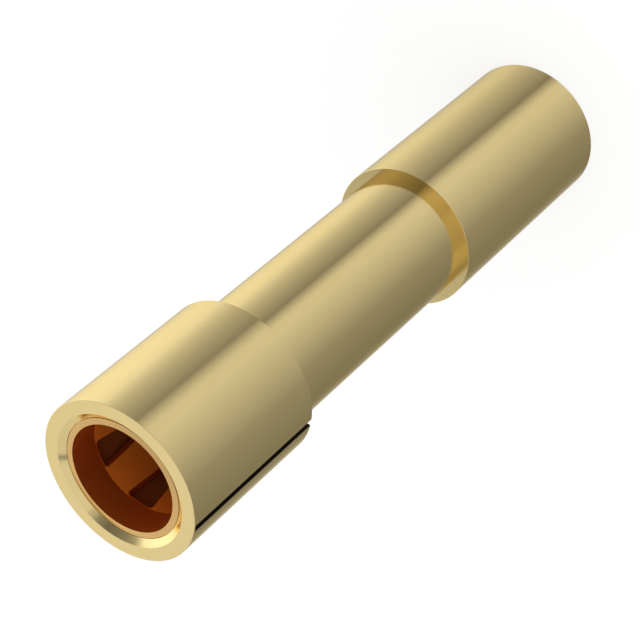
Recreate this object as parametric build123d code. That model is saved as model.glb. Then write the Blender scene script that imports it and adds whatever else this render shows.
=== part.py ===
from build123d import *
import math
import os

# A turned socket contact for crimping onto a stranded wire, in millimetres.
# It stands on the rear end of its crimp barrel, with the pin entry at the top.
# The origin is the centre of the rear end and +Z runs along the axis.
# The slit in the hood faces +X.

# Lengths of the turned body
overall_length = 13.9
crimp_barrel_length = 5.0
edge_break = 0.01

# Bore for the wire, drilled from the rear, and the wall of the crimp barrel round it
wire_bore_diameter = 2.2
wire_bore_depth = 6.0
wire_lead_in = 0.12
crimp_barrel_wall = 0.4
drill_point_angle = 118.0

# Contact cage, the ring of spring fingers inside the front end
pin_entry_diameter = 2.15
cage_wall = 0.15
cage_recess = 0.085
cage_length = 3.5
cage_nose_wall = 0.12
front_ring_length = 0.62
rear_ring_length = 0.4
bend_length = 0.03
finger_count = 6
finger_bow = 0.1
slot_end_width = 0.55
slot_waist_width = 0.28
slot_corner_radius = 0.06

# Seat of the cage in the body, and the drilled relief below it for the tip of the pin
cage_clearance = 0.01
seat_wall = 0.065
relief_diameter = 2.0
relief_depth = 0.3

# Hood, the outer sleeve over the front end
hood_length = 3.4
hood_wall = 0.29
hood_clearance = 0.01
rim_width = 0.27
mouth_depth = 0.094
lip_length = 0.35
retaining_edge = 0.05
slit_width = 0.15
slit_front_web = 0.02

# Radii that follow from the sizes above, from the inside out
wire_bore_radius = wire_bore_diameter / 2
barrel_radius = wire_bore_radius + crimp_barrel_wall
cage_bore_radius = pin_entry_diameter / 2
cage_outer_radius = cage_bore_radius + cage_wall
finger_waist_radius = cage_bore_radius - finger_bow
cage_seat_radius = cage_outer_radius + cage_clearance
neck_radius = cage_seat_radius + seat_wall
hood_bore_radius = neck_radius + hood_clearance
hood_radius = hood_bore_radius + hood_wall
mouth_radius = hood_radius - rim_width
nose_radius = cage_bore_radius + cage_nose_wall
mouth_floor_radius = nose_radius + cage_clearance
relief_radius = relief_diameter / 2

# Heights above the rear end
mouth_floor = overall_length - mouth_depth
retaining_face = mouth_floor - retaining_edge
nose_shoulder = retaining_face - cage_clearance
cage_top = overall_length - cage_recess
cage_bottom = cage_top - cage_length
hood_bottom = overall_length - hood_length
body_top = cage_top - lip_length
finger_top = cage_top - front_ring_length
finger_bottom = cage_bottom + rear_ring_length
finger_waist_height = (finger_top + finger_bottom) / 2
relief_bottom = cage_bottom - relief_depth


def drill_point_height(radius):
    """Height of the cone that a twist drill leaves at the end of its hole."""
    return radius / math.tan(math.radians(drill_point_angle / 2))


def turned(points):
    """Solid turned about the Z axis from an outline of (radius, height) points."""
    with BuildPart() as piece:
        with BuildSketch(Plane.XZ):
            with BuildLine():
                Polyline(*points, close=True)
            make_face()
        revolve(axis=Axis.Z)
    return piece.part


def contact_body():
    """Turned bar with the crimp barrel at the rear and the seat of the cage at the front."""
    wire_end = wire_bore_depth + drill_point_height(wire_bore_radius)
    relief_end = relief_bottom - drill_point_height(relief_radius)
    return turned([
        (0, wire_end),
        (wire_bore_radius, wire_bore_depth),
        (wire_bore_radius, wire_lead_in),
        (wire_bore_radius + wire_lead_in, 0),
        (barrel_radius - edge_break, 0),
        (barrel_radius, edge_break),
        (barrel_radius, crimp_barrel_length - edge_break),
        (barrel_radius - edge_break, crimp_barrel_length),
        (neck_radius, crimp_barrel_length),
        (neck_radius, body_top),
        (cage_seat_radius, body_top),
        (cage_seat_radius, cage_bottom),
        (relief_radius, cage_bottom),
        (relief_radius, relief_bottom),
        (0, relief_end),
    ])


def hood_sleeve():
    """Sleeve with a lip round the cage at its front, ending in the edge that keeps the cage in."""
    return turned([
        (hood_bore_radius, hood_bottom),
        (hood_radius - edge_break, hood_bottom),
        (hood_radius, hood_bottom + edge_break),
        (hood_radius, overall_length - edge_break),
        (hood_radius - edge_break, overall_length),
        (mouth_radius, overall_length),
        (mouth_floor_radius, mouth_floor),
        (mouth_floor_radius, retaining_face),
        (cage_seat_radius, retaining_face),
        (cage_seat_radius, body_top),
        (hood_bore_radius, body_top),
    ])


def hood():
    """Hood with the slit that lets it spring onto the body, closed behind the front rim."""
    slit_top = overall_length - edge_break - slit_front_web
    slit_length = slit_top - hood_bottom
    slit = Pos(hood_bore_radius, 0, hood_bottom) * Box(
        hood_radius, slit_width, slit_length, align=(Align.MIN, Align.CENTER, Align.MIN)
    )
    return hood_sleeve() - slit


def cage_blank():
    """Tube drawn in to a waist between its plain ends, with a thinner nose inside the hood's lip."""
    ring_end = finger_top + bend_length
    rear_ring_end = finger_bottom - bend_length
    waist_outer_radius = finger_waist_radius + cage_wall
    with BuildPart() as blank:
        with BuildSketch(Plane.XZ):
            with BuildLine():
                Line((cage_bore_radius, cage_top), (cage_bore_radius, ring_end))
                ThreePointArc(
                    (cage_bore_radius, ring_end),
                    (finger_waist_radius, finger_waist_height),
                    (cage_bore_radius, rear_ring_end),
                )
                Line((cage_bore_radius, rear_ring_end), (cage_bore_radius, cage_bottom))
                Line((cage_bore_radius, cage_bottom), (cage_outer_radius, cage_bottom))
                Line((cage_outer_radius, cage_bottom), (cage_outer_radius, rear_ring_end))
                ThreePointArc(
                    (cage_outer_radius, rear_ring_end),
                    (waist_outer_radius, finger_waist_height),
                    (cage_outer_radius, ring_end),
                )
                Polyline(
                    (cage_outer_radius, ring_end),
                    (cage_outer_radius, nose_shoulder),
                    (nose_radius, nose_shoulder),
                    (nose_radius, mouth_floor),
                    (cage_bore_radius, cage_top),
                )
            make_face()
        revolve(axis=Axis.Z)
    return blank.part


def finger_slot():
    """Cutter for one slot between two fingers, narrowest at the waist, pointing along +X."""
    start = finger_waist_radius / 2
    end = slot_end_width / 2
    waist = slot_waist_width / 2
    outline = [
        (-end, finger_top),
        (end, finger_top),
        (waist, finger_waist_height),
        (end, finger_bottom),
        (-end, finger_bottom),
        (-waist, finger_waist_height),
    ]
    with BuildPart() as cutter:
        with BuildSketch(Plane.YZ.offset(start)) as slot:
            with BuildLine():
                Polyline(*outline, close=True)
            make_face()
            ends = slot.vertices().group_by(Axis.Z)
            fillet(ends[0] + ends[-1], radius=slot_corner_radius)
        extrude(amount=cage_outer_radius)
    return cutter.part


def contact_cage():
    """Cage of spring fingers joined by a whole ring at each end, one finger facing +X."""
    pitch = 360 / finger_count
    cage = cage_blank()
    for index in range(finger_count):
        cage = cage - Rot(0, 0, pitch * (index + 0.5)) * finger_slot()
    return cage


pieces = {
    "contact_body": contact_body(),
    "hood": hood(),
    "contact_cage": contact_cage(),
}

os.makedirs("parts", exist_ok=True)
for name, piece in pieces.items():
    export_step(piece, f"parts/{name}.step")
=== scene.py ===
"""Socket crimp contact: gold-plated turned body, slit hood and cage of spring fingers, on a pale floor.

The contact stands on its rear end at the origin. +Z runs along its axis to the pin entry, and the slit faces
+X.
"""

import math
import types

import bmesh
import bpy
from bpy.props import FloatProperty, FloatVectorProperty, IntProperty, PointerProperty
from mathutils import Euler, Matrix, Vector


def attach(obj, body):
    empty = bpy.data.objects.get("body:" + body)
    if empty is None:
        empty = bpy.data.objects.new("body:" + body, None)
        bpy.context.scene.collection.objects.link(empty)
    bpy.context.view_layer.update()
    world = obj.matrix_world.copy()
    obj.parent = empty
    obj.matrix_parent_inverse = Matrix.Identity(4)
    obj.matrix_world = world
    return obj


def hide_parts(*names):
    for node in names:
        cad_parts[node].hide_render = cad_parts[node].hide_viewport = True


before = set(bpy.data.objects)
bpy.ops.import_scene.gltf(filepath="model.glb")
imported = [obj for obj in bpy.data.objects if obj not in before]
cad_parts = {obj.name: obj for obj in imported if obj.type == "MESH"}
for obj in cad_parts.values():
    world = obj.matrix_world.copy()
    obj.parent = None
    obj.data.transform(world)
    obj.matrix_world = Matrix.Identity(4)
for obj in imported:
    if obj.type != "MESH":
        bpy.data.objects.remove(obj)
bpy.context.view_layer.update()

bl_info = {
    "name": "Socket Crimp Contact",
    "version": (1, 0, 0),
    "blender": (4, 5, 0),
    "location": "View3D > Sidebar > Crimp Contact",
    "description": "Builds a gold-plated socket contact for crimping onto a stranded wire",
    "category": "Add Mesh",
}

MM = 0.001

# Distances in millimetres: vertices within SEAM of each other are merged, and a test of place allows NEAR
SEAM = 0.0001
NEAR = 0.001

# Steps of the sweeps about the axis: a whole turn of body and cage, half a turn of the hood, and half its slit
BODY_STEPS = 256
CAGE_STEPS = 192
HOOD_STEPS = 128
SLIT_STEPS = 2

# Segments of a broken edge and of a slot's corner, and cuts along the bow of the fingers
EDGE_SEGMENTS = 4
SLOT_CORNER_SEGMENTS = 5
BOW_CUTS = 23

# Angle in degrees above which two faces meet in a crisp edge
CREASE = 7

# Sizes in millimetres of the patterns in the finishes, the first being how far a turned ring keeps its look
RING_RUN = 6.0
PLATING_DRIFT = 2.5
STAIN = 0.8
SAW_MARK = 0.1

# Inputs and output of a Mix node for colours, whose sockets can't be told apart by name
FACTOR, FIRST, SECOND, MIXED = 0, 6, 7, 2

# Strength of the even light that the world gives to matt surfaces
FILL_LIGHT = 0.75

# Softbox: strength, and spread and turn about X, Y and Z in degrees
LAMP_STRENGTH = 1.4
LAMP_SPREAD = 70
LAMP_TURN = (-12, 18, 0)

# Camera at the photograph's viewing angle: place, lens and sensor in millimetres, and turn in degrees
CAMERA_PLACE = (12.987, 24.509, 32.889)
CAMERA_TURN = (-36.227, 34.306, 9.984)
CAMERA_LENS = 112.03
CAMERA_SENSOR = 36

FLOOR_SEGMENTS = 96


def length(name, description, millimetres):
    """Property for a length, given in millimetres and stored in metres."""
    return FloatProperty(
        name=name, description=description, default=millimetres * MM, unit="LENGTH", precision=5, min=0.0
    )


def fraction(name, description, value):
    """Property for a plain number from 0 to 1."""
    return FloatProperty(name=name, description=description, default=value, min=0.0, max=1.0, subtype="FACTOR")


def linear(code):
    """Linear colour with alpha of an sRGB hex code such as #FFD98A."""
    parts = [int(code[start:start + 2], 16) / 255 for start in (1, 3, 5)]
    return [part / 12.92 if part <= 0.04045 else ((part + 0.055) / 1.055) ** 2.4 for part in parts] + [1.0]


def colour(name, description, code):
    """Property for a colour, given as an sRGB hex code."""
    return FloatVectorProperty(
        name=name, description=description, default=linear(code), size=4, min=0.0, max=1.0, subtype="COLOR"
    )


class BodySizes(bpy.types.PropertyGroup):
    """Sizes of the turned body, from the crimp barrel at the rear to the seat of the cage."""

    barrel_radius: length("Crimp barrel radius", "Outside radius of the crimp barrel", 1.5)
    barrel_length: length("Crimp barrel length", "Length of the crimp barrel, up to its shoulder", 5.0)
    wire_radius: length("Wire bore radius", "Radius of the bore for the wire", 1.1)
    wire_depth: length("Wire bore depth", "Depth of the wire bore at its full width", 6.0)
    wire_point: length("Wire bore point", "Height of the cone at the end of the wire bore", 0.661)
    wire_lead: length("Wire lead-in", "Width and depth of the chamfer at the wire bore's mouth", 0.12)
    neck_radius: length("Neck radius", "Outside radius of the neck", 1.3)
    front_end: length("Front end", "Height of the body's front end, inside the hood", 13.465)
    seat_radius: length("Seat radius", "Radius of the seat of the cage", 1.235)
    seat_floor: length("Seat floor", "Height of the shoulder that the cage stands on", 10.315)
    relief_radius: length("Relief radius", "Radius of the drilled relief below the cage", 1.0)
    relief_floor: length("Relief floor", "Height of the relief's floor at its full width", 10.015)
    relief_point: length("Relief point", "Height of the cone at the end of the relief", 0.601)
    edge_break: length("Edge break", "Width that the turned edges are broken by", 0.01)


class HoodSizes(bpy.types.PropertyGroup):
    """Sizes of the outer sleeve over the front end."""

    top: length("Top", "Height of the front rim", 13.9)
    bottom: length("Bottom", "Height of the rear edge", 10.5)
    radius: length("Radius", "Outside radius", 1.6)
    bore_radius: length("Bore radius", "Radius of the bore over the body", 1.31)
    mouth_radius: length("Mouth radius", "Outer radius of the countersunk mouth", 1.33)
    mouth_floor: length("Mouth floor", "Height of the countersunk mouth's inner edge", 13.806)
    nose_radius: length("Nose clearance radius", "Radius of the edge round the cage's nose", 1.205)
    retaining_face: length("Retaining face", "Height of the face that keeps the cage in", 13.756)
    lip_radius: length("Lip radius", "Inside radius of the lip round the cage", 1.235)
    lip_bottom: length("Lip bottom", "Height of the lip's rear face", 13.465)
    slit_width: length("Slit width", "Width of the slit along the side", 0.15)
    slit_top: length("Slit top", "Height at which the slit ends behind the rim", 13.87)
    edge_break: length("Edge break", "Width that the turned edges are broken by", 0.01)


class CageSizes(bpy.types.PropertyGroup):
    """Sizes of the cage of spring fingers."""

    top: length("Top", "Height of the pin entry's edge", 13.815)
    bottom: length("Bottom", "Height of the cage's rear edge", 10.315)
    bore_radius: length("Pin entry radius", "Inside radius of the plain rings", 1.075)
    outer_radius: length("Outer radius", "Outside radius of the plain rings", 1.225)
    nose_radius: length("Nose radius", "Outside radius of the thinner nose", 1.195)
    nose_top: length("Nose top", "Height of the nose's outer edge", 13.806)
    nose_shoulder: length("Nose shoulder", "Height of the shoulder behind the nose", 13.746)
    finger_top: length("Finger top", "Height of the slots' front end", 13.195)
    finger_bottom: length("Finger bottom", "Height of the slots' rear end", 10.715)
    bend: length("Bend", "Length between a slot's end and the start of the fingers' bow", 0.03)
    bow: length("Finger bow", "Depth that the fingers are drawn inwards at their waist", 0.1)
    slot_end_width: length("Slot end width", "Width of a slot at its ends", 0.55)
    slot_waist_width: length("Slot waist width", "Width of a slot at the fingers' waist", 0.28)
    slot_corner: length("Slot corner radius", "Radius of a slot's corners", 0.06)


class Finish(bpy.types.PropertyGroup):
    """Colours and gloss of the plating, colours of the metal where little plating reaches, and painted shade in
    the slit and the seat.
    """

    gold: colour("Gold", "Hard gold over nickel on the turned parts", "#FFE7A7")
    gold_thin: colour("Thin gold", "The same plating where it is thinner", "#FBE2A0")
    grazing: colour("Grazing tint", "Tint of the plating where it is seen at a grazing angle", "#FDF6DC")
    roughness: fraction("Roughness", "Roughness of the bright plated surface", 0.14)
    spring_gold: colour("Spring gold", "Gold flashed over copper alloy on the cage", "#FACE8A")
    spring_thin: colour("Thin spring gold", "The same flash where the copper shows through", "#F4C680")
    spring_roughness: fraction("Spring roughness", "Roughness of the flashed spring alloy", 0.18)
    bore: colour("Bore", "Spring alloy inside the cage", "#F29A40")
    bore_dark: colour("Dark bore", "The same alloy where it has darkened", "#E88C34")
    finger: colour("Finger", "Gold flash on the fingers' inner faces", "#FF9C3A")
    finger_thin: colour("Thin finger", "The same flash where the pin rubs it", "#F59230")
    # Painted shade: a dark brown for the shade in the gap behind the fingers, with random darker stains
    seat: colour("Seat", "Drilled brass of the seat behind the cage, dark as painted shade", "#8A4A1E")
    seat_dark: colour("Dark seat", "The same brass where it has darkened", "#7A3E18")
    # Painted shade: near-black colours that stand for the dark inside the slit
    slit: colour("Slit", "Near-black painted shade on the slit's sawn walls", "#1C130B")
    slit_dark: colour("Dark slit", "The same painted shade, darker in spots", "#0F0A06")


class Studio(bpy.types.PropertyGroup):
    """Floor round the contact."""

    floor_radius: length("Floor radius", "Radius of the floor", 600.0)
    floor: colour("Floor", "Colour of the pale floor", "#F7F7F7")
    shade: fraction("Shade", "Share of the floor's look that comes from the light that falls on it", 0.3)


class ContactSettings(bpy.types.PropertyGroup):
    """All the settings of the contact and its stage."""

    body: PointerProperty(type=BodySizes)
    hood: PointerProperty(type=HoodSizes)
    cage: PointerProperty(type=CageSizes)
    finger_count: IntProperty(name="Fingers", description="Number of spring fingers", default=6, min=2, max=24)
    finish: PointerProperty(type=Finish)
    studio: PointerProperty(type=Studio)


def in_millimetres(group):
    """The group's lengths in millimetres, the scale at which the meshes are shaped."""
    return types.SimpleNamespace(**{name: getattr(group, name) / MM for name in group.__annotations__})


def profile(bm, points, outer_corners=(), width=0.0):
    """One face in the XZ plane with the outline of a turned piece, given as (radius, height) points.

    The outer corners among them are rounded by the width.
    """
    verts = {point: bm.verts.new((point[0], 0.0, point[1])) for point in points}
    bm.faces.new(verts.values())
    if outer_corners:
        bmesh.ops.bevel(
            bm, geom=[verts[corner] for corner in outer_corners], offset=width, segments=EDGE_SEGMENTS,
            profile=0.5, affect="VERTICES", material=-1
        )
    bm.faces.ensure_lookup_table()
    return bm.faces[0]


def vert_at(bm, radius, height):
    """The outline's corner nearest to this radius and height."""
    return min(bm.verts, key=lambda vert: abs(vert.co.x - radius) + abs(vert.co.z - height))


def sweep(bm, edges, angle, steps, merge):
    """Turns these edges about the Z axis."""
    verts = list(dict.fromkeys(vert for edge in edges for vert in edge.verts))
    bmesh.ops.spin(
        bm, geom=edges + verts, cent=(0, 0, 0), axis=(0, 0, 1), angle=angle, steps=steps,
        use_merge=merge, use_duplicate=False
    )


def rotate(bm, verts, angle):
    """Turns these vertices about the Z axis."""
    bmesh.ops.rotate(bm, cent=(0, 0, 0), matrix=Matrix.Rotation(angle, 3, "Z"), verts=verts)


def close_up(bm):
    """Merges the seams and turns every face outwards."""
    bmesh.ops.remove_doubles(bm, verts=bm.verts, dist=SEAM)
    bmesh.ops.recalc_face_normals(bm, faces=bm.faces)


def to_mesh(bm, name):
    """Mesh of this name with the bmesh's shape, after which the bmesh is freed."""
    mesh = bpy.data.meshes.new(name)
    bm.to_mesh(mesh)
    bm.free()
    return mesh


def add_piece(bm, name, node, materials):
    """Adds the shape to the scene with smooth walls and crisp corners, in the place of its CAD node."""
    bmesh.ops.scale(bm, vec=(MM, MM, MM), verts=bm.verts)
    mesh = to_mesh(bm, name)
    mesh.shade_smooth()
    mesh.set_sharp_from_angle(angle=math.radians(CREASE))
    for material in materials:
        mesh.materials.append(material)
    piece = bpy.data.objects.new(name, mesh)
    bpy.context.scene.collection.objects.link(piece)
    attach(piece, "root")
    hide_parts(node)


def emptied_tree(owner):
    """Node tree of a new material or world, with nothing in it."""
    owner.use_nodes = True
    owner.node_tree.nodes.clear()
    return owner.node_tree


def add_node(tree, kind, settings=None, inputs=None, stops=()):
    """Adds a node, sets its properties and a ramp's (position, grey) stops, and sets or links its inputs."""
    node = tree.nodes.new(kind)
    for name, value in (settings or {}).items():
        setattr(node, name, value)
    for position, grey in stops[2:]:
        node.color_ramp.elements.new(position)
    for index, (position, grey) in enumerate(stops):
        node.color_ramp.elements[index].position = position
        node.color_ramp.elements[index].color = (grey, grey, grey, 1.0)
    for name, value in (inputs or {}).items():
        if isinstance(value, bpy.types.NodeSocket):
            tree.links.new(value, node.inputs[name])
        else:
            node.inputs[name].default_value = value
    return node


def plating(name, gold, thin, grazing, roughness, ring_spacing, ring_depth):
    """Bright electroplated metal over turned or drawn stock.

    The plating levels the tool's marks, so only a faint run of fine rings is left in the gloss, and the colour
    drifts a little where the plating is thinner. The rings' spacing and depth are in millimetres.
    """
    material = bpy.data.materials.new(name)
    tree = emptied_tree(material)
    coordinates = add_node(tree, "ShaderNodeTexCoord").outputs["Object"]
    across = 1 / (RING_RUN * MM)
    along = 1 / (ring_spacing * MM)
    rings_at = add_node(
        tree, "ShaderNodeMapping", inputs={"Vector": coordinates, "Scale": (across, across, along)}
    ).outputs["Vector"]
    rings = add_node(
        tree, "ShaderNodeTexNoise",
        inputs={"Vector": rings_at, "Scale": 1.0, "Detail": 3.0, "Roughness": 0.6}
    ).outputs["Fac"]
    drift = add_node(
        tree, "ShaderNodeTexNoise",
        inputs={"Vector": coordinates, "Scale": 1 / (PLATING_DRIFT * MM), "Detail": 2.0, "Roughness": 0.5}
    ).outputs["Fac"]
    tint = add_node(
        tree, "ShaderNodeMix", {"data_type": "RGBA"}, {FACTOR: drift, FIRST: gold, SECOND: thin}
    ).outputs[MIXED]
    # Most of the noise lies between 0.3 and 0.7, and sways the roughness by a fifth either way
    smooth, rough = roughness * 0.8, roughness * 1.2
    gloss = add_node(
        tree, "ShaderNodeMapRange",
        inputs={"Value": rings, "From Min": 0.3, "From Max": 0.7, "To Min": smooth, "To Max": rough}
    ).outputs["Result"]
    bump = add_node(
        tree, "ShaderNodeBump", inputs={"Height": rings, "Strength": 0.25, "Distance": ring_depth * MM}
    ).outputs["Normal"]
    shader = add_node(
        tree, "ShaderNodeBsdfPrincipled",
        inputs={
            "Base Color": tint, "Metallic": 1.0, "Roughness": gloss, "Normal": bump, "Specular Tint": grazing,
        }
    )
    add_node(tree, "ShaderNodeOutputMaterial", inputs={"Surface": shader.outputs["BSDF"]})
    return material


def dull_alloy(name, alloy, alloy_dark, metallic, roughness):
    """Copper alloy inside a narrow bore, where the bath leaves little gold and the surface is dull and stained.

    The metallic value is below 1 because a thin film of oxide covers a part of the metal.
    """
    material = bpy.data.materials.new(name)
    tree = emptied_tree(material)
    coordinates = add_node(tree, "ShaderNodeTexCoord").outputs["Object"]
    stains = add_node(
        tree, "ShaderNodeTexNoise",
        inputs={"Vector": coordinates, "Scale": 1 / (STAIN * MM), "Detail": 2.0, "Roughness": 0.5}
    ).outputs["Fac"]
    tint = add_node(
        tree, "ShaderNodeMix", {"data_type": "RGBA"}, {FACTOR: stains, FIRST: alloy, SECOND: alloy_dark}
    ).outputs[MIXED]
    shader = add_node(
        tree, "ShaderNodeBsdfPrincipled",
        inputs={"Base Color": tint, "Metallic": metallic, "Roughness": roughness}
    )
    add_node(tree, "ShaderNodeOutputMaterial", inputs={"Surface": shader.outputs["BSDF"]})
    return material


def slit_wall_painted_shade(name, oxide, oxide_dark):
    """Walls of a narrow sawn slit, coloured a dull near-black as painted shade for the dark inside the slit."""
    material = bpy.data.materials.new(name)
    tree = emptied_tree(material)
    coordinates = add_node(tree, "ShaderNodeTexCoord").outputs["Object"]
    marks = add_node(
        tree, "ShaderNodeTexNoise", inputs={"Vector": coordinates, "Scale": 1 / (SAW_MARK * MM), "Detail": 2.0}
    ).outputs["Fac"]
    # oxide and oxide_dark are painted shade, varied only by the saw-mark noise
    tint = add_node(
        tree, "ShaderNodeMix", {"data_type": "RGBA"}, {FACTOR: marks, FIRST: oxide, SECOND: oxide_dark}
    ).outputs[MIXED]
    shader = add_node(
        tree, "ShaderNodeBsdfPrincipled",
        inputs={"Base Color": tint, "Metallic": 0.0, "Roughness": 0.75, "Specular IOR Level": 0.2}
    )
    add_node(tree, "ShaderNodeOutputMaterial", inputs={"Surface": shader.outputs["BSDF"]})
    return material


class CONTACT_OT_body(bpy.types.Operator):
    """Turn the contact's body, with the wire bore at the rear and the seat of the cage at the front"""

    bl_idname = "contact.body"
    bl_label = "Contact Body"
    bl_options = {"REGISTER", "UNDO"}

    def execute(self, context):
        settings = context.scene.crimp_contact
        size = in_millimetres(settings.body)
        rear_corner = (size.barrel_radius, 0.0)
        shoulder_corner = (size.barrel_radius, size.barrel_length)
        relief_end = size.relief_floor - size.relief_point
        bm = bmesh.new()
        outline = profile(bm, [
            (0.0, size.wire_depth + size.wire_point),
            (size.wire_radius, size.wire_depth),
            (size.wire_radius, size.wire_lead),
            (size.wire_radius + size.wire_lead, 0.0),
            rear_corner,
            shoulder_corner,
            (size.neck_radius, size.barrel_length),
            (size.neck_radius, size.front_end),
            (size.seat_radius, size.front_end),
            (size.seat_radius, size.seat_floor),
            (size.relief_radius, size.seat_floor),
            (size.relief_radius, size.relief_floor),
            (0.0, relief_end),
        ], [rear_corner, shoulder_corner], size.edge_break)
        axis_edge = next(edge for edge in outline.edges if max(vert.co.x for vert in edge.verts) == 0.0)
        sweep(bm, [edge for edge in outline.edges if edge != axis_edge], math.tau, BODY_STEPS, True)
        bmesh.ops.delete(bm, geom=[axis_edge], context="EDGES")
        close_up(bm)
        # The seat and relief behind the cage get the dark brown, which is painted shade
        for face in bm.faces:
            centre = face.calc_center_median()
            in_seat = centre.z > relief_end and centre.xy.length < size.seat_radius + NEAR
            face.material_index = int(in_seat)
        finish = settings.finish
        add_piece(bm, "contact_body_turned", "contact_body", [
            plating(
                "Gold plated brass, turned", finish.gold, finish.gold_thin, finish.grazing, finish.roughness,
                ring_spacing=0.03, ring_depth=0.0006
            ),
            # The seat's dark brown is painted shade for the gap behind the fingers; its blotches are random
            # stains
            dull_alloy(
                "Brass, drilled, painted shade with stains", finish.seat, finish.seat_dark, metallic=0.5, roughness=0.5
            ),
        ])
        return {"FINISHED"}


def is_in_slit(face, size):
    """True for the slit's own walls and for the faces that close its front end."""
    centre = face.calc_center_median()
    return (
        centre.x > 0 and abs(centre.y) < size.slit_width / 2 + NEAR
        and size.bore_radius - NEAR < centre.xy.length < size.radius - NEAR
        and centre.z < size.slit_top + NEAR
    )


class CONTACT_OT_hood(bpy.types.Operator):
    """Turn the hood and open its slit, which faces +X and ends behind the front rim"""

    bl_idname = "contact.hood"
    bl_label = "Hood"
    bl_options = {"REGISTER", "UNDO"}

    def execute(self, context):
        settings = context.scene.crimp_contact
        size = in_millimetres(settings.hood)
        rear_corner = (size.radius, size.bottom)
        rim_corner = (size.radius, size.top)
        bm = bmesh.new()
        outline = profile(bm, [
            (size.bore_radius, size.bottom),
            rear_corner,
            (size.radius, size.slit_top),
            rim_corner,
            (size.mouth_radius, size.top),
            (size.nose_radius, size.mouth_floor),
            (size.nose_radius, size.retaining_face),
            (size.lip_radius, size.retaining_face),
            (size.lip_radius, size.lip_bottom),
            (size.bore_radius, size.lip_bottom),
        ], [rear_corner, rim_corner], size.edge_break)
        wall_edges = list(outline.edges)
        # The part between the slit and the rim is split off, because only it runs on across the slit's end
        lip_corner = vert_at(bm, size.bore_radius, size.lip_bottom)
        slit_corner = vert_at(bm, size.radius, size.slit_top)
        inner_corner = (size.bore_radius, 0.0, size.slit_top)
        other = bmesh.utils.face_split(outline, lip_corner, slit_corner, coords=[inner_corner])[0]
        lip, wall = sorted((outline, other), key=lambda face: -face.calc_center_median().z)
        lip_edges = list(lip.edges)
        # From the slit's edge half of the hood is swept round to the back, and the lip to the mirror plane
        half_angle = math.asin(size.slit_width / 2 / size.radius)
        rotate(bm, bm.verts, half_angle)
        sweep(bm, wall_edges, math.pi - half_angle, HOOD_STEPS, False)
        sweep(bm, lip_edges, -half_angle, SLIT_STEPS, False)
        # The slit's wall is flat and parallel to that plane
        for vert in wall.verts:
            radius = vert.co.xy.length
            vert.co.y = size.slit_width / 2
            vert.co.x = math.sqrt(radius ** 2 - vert.co.y ** 2)
        bmesh.ops.delete(bm, geom=[lip], context="FACES_ONLY")
        everything = bm.verts[:] + bm.edges[:] + bm.faces[:]
        bmesh.ops.mirror(bm, geom=everything, axis="Y", merge_dist=SEAM)
        close_up(bm)
        # The slit's walls and the faces that close its front end get the near-black painted shade
        for face in bm.faces:
            face.material_index = int(is_in_slit(face, size))
        finish = settings.finish
        add_piece(bm, "hood_sleeve", "hood", [
            plating(
                "Gold plated sleeve, turned", finish.gold, finish.gold_thin, finish.grazing, finish.roughness,
                ring_spacing=0.03, ring_depth=0.0006
            ),
            # Near-black painted shade for the slit's walls
            slit_wall_painted_shade("Slit walls, painted shade", finish.slit, finish.slit_dark),
        ])
        return {"FINISHED"}


def cage_blank(size, middle):
    """Mesh of the cage before its slots are cut: a tube drawn in to a waist between two plain rings."""
    bow_top = size.finger_top + size.bend
    bow_bottom = size.finger_bottom - size.bend
    bm = bmesh.new()
    profile(bm, [
        (size.bore_radius, size.top),
        (size.bore_radius, bow_top),
        (size.bore_radius, bow_bottom),
        (size.bore_radius, size.bottom),
        (size.outer_radius, size.bottom),
        (size.outer_radius, bow_bottom),
        (size.outer_radius, bow_top),
        (size.outer_radius, size.nose_shoulder),
        (size.nose_radius, size.nose_shoulder),
        (size.nose_radius, size.nose_top),
    ])
    bow_edges = [edge for edge in bm.edges if edge.calc_length() > bow_top - bow_bottom - NEAR]
    bmesh.ops.subdivide_edges(bm, edges=bow_edges, cuts=BOW_CUTS)
    for vert in bm.verts:
        share = (vert.co.z - middle) / (bow_top - middle)
        if abs(share) < 1:
            vert.co.x -= size.bow * (1 - share ** 2)
    # The outline's own faces, and the edges that the cuts drew across them, would be left inside the wall
    flat = bm.faces[:]
    across = [edge for edge in bm.edges if not edge.is_boundary]
    sweep(bm, [edge for edge in bm.edges if edge.is_boundary], math.tau, CAGE_STEPS, True)
    bmesh.ops.delete(bm, geom=flat, context="FACES_ONLY")
    bmesh.ops.delete(bm, geom=across, context="EDGES")
    close_up(bm)
    return to_mesh(bm, "cage_blank")


def slot_cutters(size, middle, count):
    """Mesh of one prism for each slot, narrowest at the waist of the fingers."""
    end = size.slot_end_width / 2
    waist = size.slot_waist_width / 2
    start = (size.bore_radius - size.bow) / 2
    bm = bmesh.new()
    corners = [
        (-end, size.finger_top), (end, size.finger_top), (waist, middle),
        (end, size.finger_bottom), (-end, size.finger_bottom), (-waist, middle),
    ]
    face = bm.faces.new([bm.verts.new((start, across, height)) for across, height in corners])
    ends = [vert for vert in face.verts if abs(vert.co.z - middle) > NEAR]
    bmesh.ops.bevel(
        bm, geom=ends, offset=size.slot_corner, segments=SLOT_CORNER_SEGMENTS, profile=0.5,
        affect="VERTICES", material=-1
    )
    grown = bmesh.ops.extrude_face_region(bm, geom=bm.faces[:])["geom"]
    grown_verts = [item for item in grown if isinstance(item, bmesh.types.BMVert)]
    bmesh.ops.translate(bm, vec=(size.outer_radius, 0, 0), verts=grown_verts)
    bmesh.ops.recalc_face_normals(bm, faces=bm.faces)
    # One finger faces the slit, so the first slot stands half a pitch beside it
    pitch = math.tau / count
    rotate(bm, bm.verts, pitch / 2)
    first = bm.verts[:] + bm.edges[:] + bm.faces[:]
    for index in range(1, count):
        copy = bmesh.ops.duplicate(bm, geom=first)["geom"]
        rotate(bm, [item for item in copy if isinstance(item, bmesh.types.BMVert)], pitch * index)
    return to_mesh(bm, "slot_cutters")


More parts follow.
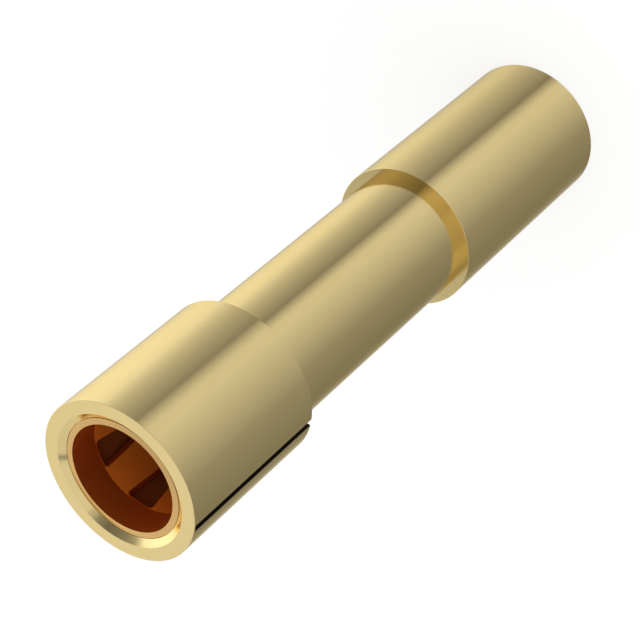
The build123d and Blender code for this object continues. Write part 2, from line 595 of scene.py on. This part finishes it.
def cut_slots(blank, cutters):
    """The blank's mesh with the slots cut out of it."""
    scene = bpy.context.scene
    tube = bpy.data.objects.new("cage_blank", blank)
    tool = bpy.data.objects.new("slot_cutters", cutters)
    scene.collection.objects.link(tube)
    scene.collection.objects.link(tool)
    cut = tube.modifiers.new("Slots", "BOOLEAN")
    cut.operation = "DIFFERENCE"
    cut.solver = "EXACT"
    cut.object = tool
    graph = bpy.context.evaluated_depsgraph_get()
    formed = bpy.data.meshes.new_from_object(tube.evaluated_get(graph))
    bpy.data.objects.remove(tube)
    bpy.data.objects.remove(tool)
    if len(formed.polygons) <= len(blank.polygons) // 2:
        raise RuntimeError("the slots could not be cut")
    return formed


def cage_finish(face, size):
    """Number of the face's material: 0 for the outside and front end, 1 for bore and slots, 2 for fingers."""
    centre = face.calc_center_median()
    facing = face.normal.xy.dot(centre.xy.normalized())
    looks_forward = face.normal.z > 0.5
    looks_outward = facing > 0.3
    looks_inward = facing < -0.9
    if looks_forward or looks_outward:
        return 0
    return 2 if looks_inward and size.finger_bottom < centre.z < size.finger_top else 1


class CONTACT_OT_cage(bpy.types.Operator):
    """Form the cage: a tube drawn in at its waist, with slots that leave a ring of spring fingers"""

    bl_idname = "contact.cage"
    bl_label = "Contact Cage"
    bl_options = {"REGISTER", "UNDO"}

    def execute(self, context):
        settings = context.scene.crimp_contact
        size = in_millimetres(settings.cage)
        middle = (size.finger_top + size.finger_bottom) / 2
        formed = cut_slots(cage_blank(size, middle), slot_cutters(size, middle, settings.finger_count))
        bm = bmesh.new()
        bm.from_mesh(formed)
        close_up(bm)
        for face in bm.faces:
            face.material_index = cage_finish(face, size)
        finish = settings.finish
        add_piece(bm, "contact_cage_fingers", "contact_cage", [
            plating(
                "Gold flashed spring alloy, stamped", finish.spring_gold, finish.spring_thin, finish.grazing,
                finish.spring_roughness, ring_spacing=0.04, ring_depth=0.0008
            ),
            dull_alloy("Spring alloy, drawn bore", finish.bore, finish.bore_dark, metallic=0.97, roughness=0.4),
            dull_alloy(
                "Gold flashed finger, rubbed", finish.finger, finish.finger_thin, metallic=0.76, roughness=0.35
            ),
        ])
        return {"FINISHED"}


def heading(azimuth, height):
    """Unit vector at this azimuth, which runs from +X towards +Y, and this height, both in degrees."""
    turn, rise = math.radians(azimuth), math.radians(height)
    return (math.cos(rise) * math.cos(turn), math.cos(rise) * math.sin(turn), math.sin(rise))


def turn_share(azimuth):
    """Share of a full turn, counted from -180 degrees, as the ramp of the long panel reads it."""
    return (azimuth + 180) / 360


def studio_world():
    """White behind the contact, even light on the floor, and soft panels of light for the metal to mirror.

    Polished metal shows only what stands round it. So the world holds a large soft panel on the side away from
    the slit, a long one that bends round the slit's side and is brightest near its two ends, the dimmer gap
    between them, a pale cloth behind the contact and a small panel overhead. A ramp gives each one's brightness:
    for the long panel by azimuth, and for the others by the cosine of the angle from their middle. Each is then
    faded by height, which is the direction's Z, and where two meet the brighter one shows.
    """
    world = bpy.data.worlds.new("Studio")
    tree = emptied_tree(world)
    direction = add_node(tree, "ShaderNodeTexCoord").outputs["Generated"]
    parts = add_node(tree, "ShaderNodeSeparateXYZ", inputs={"Vector": direction}).outputs
    azimuth = add_node(
        tree, "ShaderNodeMath", {"operation": "ARCTAN2"}, {0: parts["Y"], 1: parts["X"]}
    ).outputs[0]
    share = add_node(
        tree, "ShaderNodeMapRange",
        inputs={"Value": azimuth, "From Min": -math.pi, "From Max": math.pi, "To Min": 0.0, "To Max": 1.0}
    ).outputs["Result"]
    middles = {"left": heading(185, 0), "cloth": heading(285, 33), "overhead": heading(350, 62)}
    nearness = {
        name: add_node(
            tree, "ShaderNodeVectorMath", {"operation": "DOT_PRODUCT"}, {0: direction, 1: middle}
        ).outputs["Value"]
        for name, middle in middles.items()
    }
    left_panel = add_node(tree, "ShaderNodeValToRGB", inputs={"Fac": nearness["left"]}, stops=[
        (0.1, 0.2), (0.2, 0.3), (0.374, 0.4), (0.506, 0.5), (0.572, 0.57), (0.65, 0.7), (0.705, 0.83),
        (0.772, 0.92), (0.9, 1.05),
    ]).outputs["Color"]
    left_fade = add_node(tree, "ShaderNodeValToRGB", inputs={"Fac": parts["Z"]}, stops=[
        (0.0, 1.0), (0.2, 1.18), (0.6, 1.18), (0.7, 0.46),
    ]).outputs["Color"]
    right_panel = add_node(tree, "ShaderNodeValToRGB", inputs={"Fac": share}, stops=[
        (turn_share(-180), 0.0), (turn_share(-120), 0.57), (turn_share(-107), 0.64), (turn_share(-90), 0.33),
        (turn_share(-70), 0.23), (turn_share(-48), 0.23), (turn_share(0), 0.297), (turn_share(75), 0.675),
        (turn_share(88), 0.66), (turn_share(101), 0.37), (turn_share(110), 0.0),
    ]).outputs["Color"]
    right_fade = add_node(
        tree, "ShaderNodeMapRange", {"interpolation_type": "SMOOTHSTEP"},
        {"Value": parts["Z"], "From Min": 0.0, "From Max": 0.6, "To Min": 1.0, "To Max": 0.75}
    ).outputs["Result"]
    cloth = add_node(tree, "ShaderNodeValToRGB", inputs={"Fac": nearness["cloth"]}, stops=[
        (0.705, 0.0), (0.75, 0.75), (0.83, 0.75), (0.87, 0.68), (0.97, 0.66),
    ]).outputs["Color"]
    cloth_fade = add_node(
        tree, "ShaderNodeMapRange",
        inputs={"Value": parts["Z"], "From Min": 0.68, "From Max": 0.71, "To Min": 1.0, "To Max": 0.0}
    ).outputs["Result"]
    overhead = add_node(tree, "ShaderNodeValToRGB", inputs={"Fac": nearness["overhead"]}, stops=[
        (0.6, 0.0), (0.7, 0.22), (0.83, 0.25), (0.87, 0.7),
    ]).outputs["Color"]
    overhead_fade = add_node(
        tree, "ShaderNodeMapRange",
        inputs={"Value": parts["Z"], "From Min": 0.722, "From Max": 0.74, "To Min": 0.0, "To Max": 1.0}
    ).outputs["Result"]
    mirrored = 0.0
    for panel, fade in (
        (left_panel, left_fade), (right_panel, right_fade), (cloth, cloth_fade), (overhead, overhead_fade)
    ):
        faded = add_node(tree, "ShaderNodeMath", {"operation": "MULTIPLY"}, {0: panel, 1: fade}).outputs[0]
        mirrored = add_node(
            tree, "ShaderNodeMath", {"operation": "MAXIMUM"}, {0: mirrored, 1: faded}
        ).outputs[0]
    ray = add_node(tree, "ShaderNodeLightPath").outputs
    around = add_node(tree, "ShaderNodeBackground", inputs={"Color": (1, 1, 1, 1), "Strength": mirrored})
    plain = add_node(tree, "ShaderNodeBackground", inputs={"Color": (1, 1, 1, 1), "Strength": FILL_LIGHT})
    white = add_node(tree, "ShaderNodeBackground", inputs={"Color": (1, 1, 1, 1), "Strength": 1.0})
    lit = add_node(
        tree, "ShaderNodeMixShader", inputs={0: ray["Is Glossy Ray"], 1: plain.outputs[0], 2: around.outputs[0]}
    )
    seen = add_node(
        tree, "ShaderNodeMixShader", inputs={0: ray["Is Camera Ray"], 1: lit.outputs[0], 2: white.outputs[0]}
    )
    add_node(tree, "ShaderNodeOutputWorld", inputs={"Surface": seen.outputs[0]})
    return world


def floor_material(studio):
    """Matt white paper sweep, which stays white to the camera and keeps a part of the contact's soft shadow."""
    material = bpy.data.materials.new("Matt white paper")
    tree = emptied_tree(material)
    paper = add_node(tree, "ShaderNodeBsdfDiffuse", inputs={"Color": studio.floor})
    white = add_node(tree, "ShaderNodeEmission", inputs={"Color": (1, 1, 1, 1), "Strength": 1.0})
    camera_ray = add_node(tree, "ShaderNodeLightPath").outputs["Is Camera Ray"]
    share = add_node(
        tree, "ShaderNodeMath", {"operation": "MULTIPLY"}, {0: camera_ray, 1: 1.0 - studio.shade}
    ).outputs[0]
    mixed = add_node(
        tree, "ShaderNodeMixShader", inputs={0: share, 1: paper.outputs[0], 2: white.outputs[0]}
    )
    add_node(tree, "ShaderNodeOutputMaterial", inputs={"Surface": mixed.outputs[0]})
    return material


def turned_by(degrees):
    """Rotation by these degrees about X, Y and Z."""
    return Euler([math.radians(angle) for angle in degrees], "XYZ")


class CONTACT_OT_stage(bpy.types.Operator):
    """Set up the floor, the light and the camera"""

    bl_idname = "contact.stage"
    bl_label = "Stage"
    bl_options = {"REGISTER", "UNDO"}

    def execute(self, context):
        scene = context.scene
        studio = scene.crimp_contact.studio
        bm = bmesh.new()
        bmesh.ops.create_circle(bm, cap_ends=True, segments=FLOOR_SEGMENTS, radius=studio.floor_radius)
        mesh = to_mesh(bm, "floor")
        mesh.materials.append(floor_material(studio))
        floor = bpy.data.objects.new("floor", mesh)
        scene.collection.objects.link(floor)
        floor.visible_glossy = False
        lamp = bpy.data.lights.new("softbox", "SUN")
        lamp.energy = LAMP_STRENGTH
        lamp.angle = math.radians(LAMP_SPREAD)
        softbox = bpy.data.objects.new("softbox", lamp)
        softbox.rotation_euler = turned_by(LAMP_TURN)
        softbox.visible_glossy = False
        scene.collection.objects.link(softbox)
        scene.world = studio_world()
        camera_data = bpy.data.cameras.new("camera")
        camera_data.lens = CAMERA_LENS
        camera_data.sensor_width = CAMERA_SENSOR
        camera_data.clip_start = MM
        camera = bpy.data.objects.new("camera", camera_data)
        camera.location = Vector(CAMERA_PLACE) * MM
        camera.rotation_euler = turned_by(CAMERA_TURN)
        scene.collection.objects.link(camera)
        scene.camera = camera
        scene.view_settings.view_transform = "Standard"
        return {"FINISHED"}


class CONTACT_PT_sidebar(bpy.types.Panel):
    """Buttons that build the contact"""

    bl_idname = "CONTACT_PT_sidebar"
    bl_label = "Crimp Contact"
    bl_space_type = "VIEW_3D"
    bl_region_type = "UI"
    bl_category = "Crimp Contact"

    def draw(self, context):
        column = self.layout.column()
        for operator in OPERATORS:
            column.operator(operator.bl_idname)


OPERATORS = (CONTACT_OT_body, CONTACT_OT_hood, CONTACT_OT_cage, CONTACT_OT_stage)
GROUPS = (BodySizes, HoodSizes, CageSizes, Finish, Studio, ContactSettings)
CLASSES = GROUPS + OPERATORS + (CONTACT_PT_sidebar,)


def register():
    for cls in CLASSES:
        bpy.utils.register_class(cls)
    bpy.types.Scene.crimp_contact = PointerProperty(type=ContactSettings)


def unregister():
    del bpy.types.Scene.crimp_contact
    for cls in reversed(CLASSES):
        bpy.utils.unregister_class(cls)


def main():
    """Builds the contact and its stage."""
    register()
    bpy.ops.contact.body()
    bpy.ops.contact.hood()
    bpy.ops.contact.cage()
    bpy.ops.contact.stage()


if __name__ == "__main__":
    main()
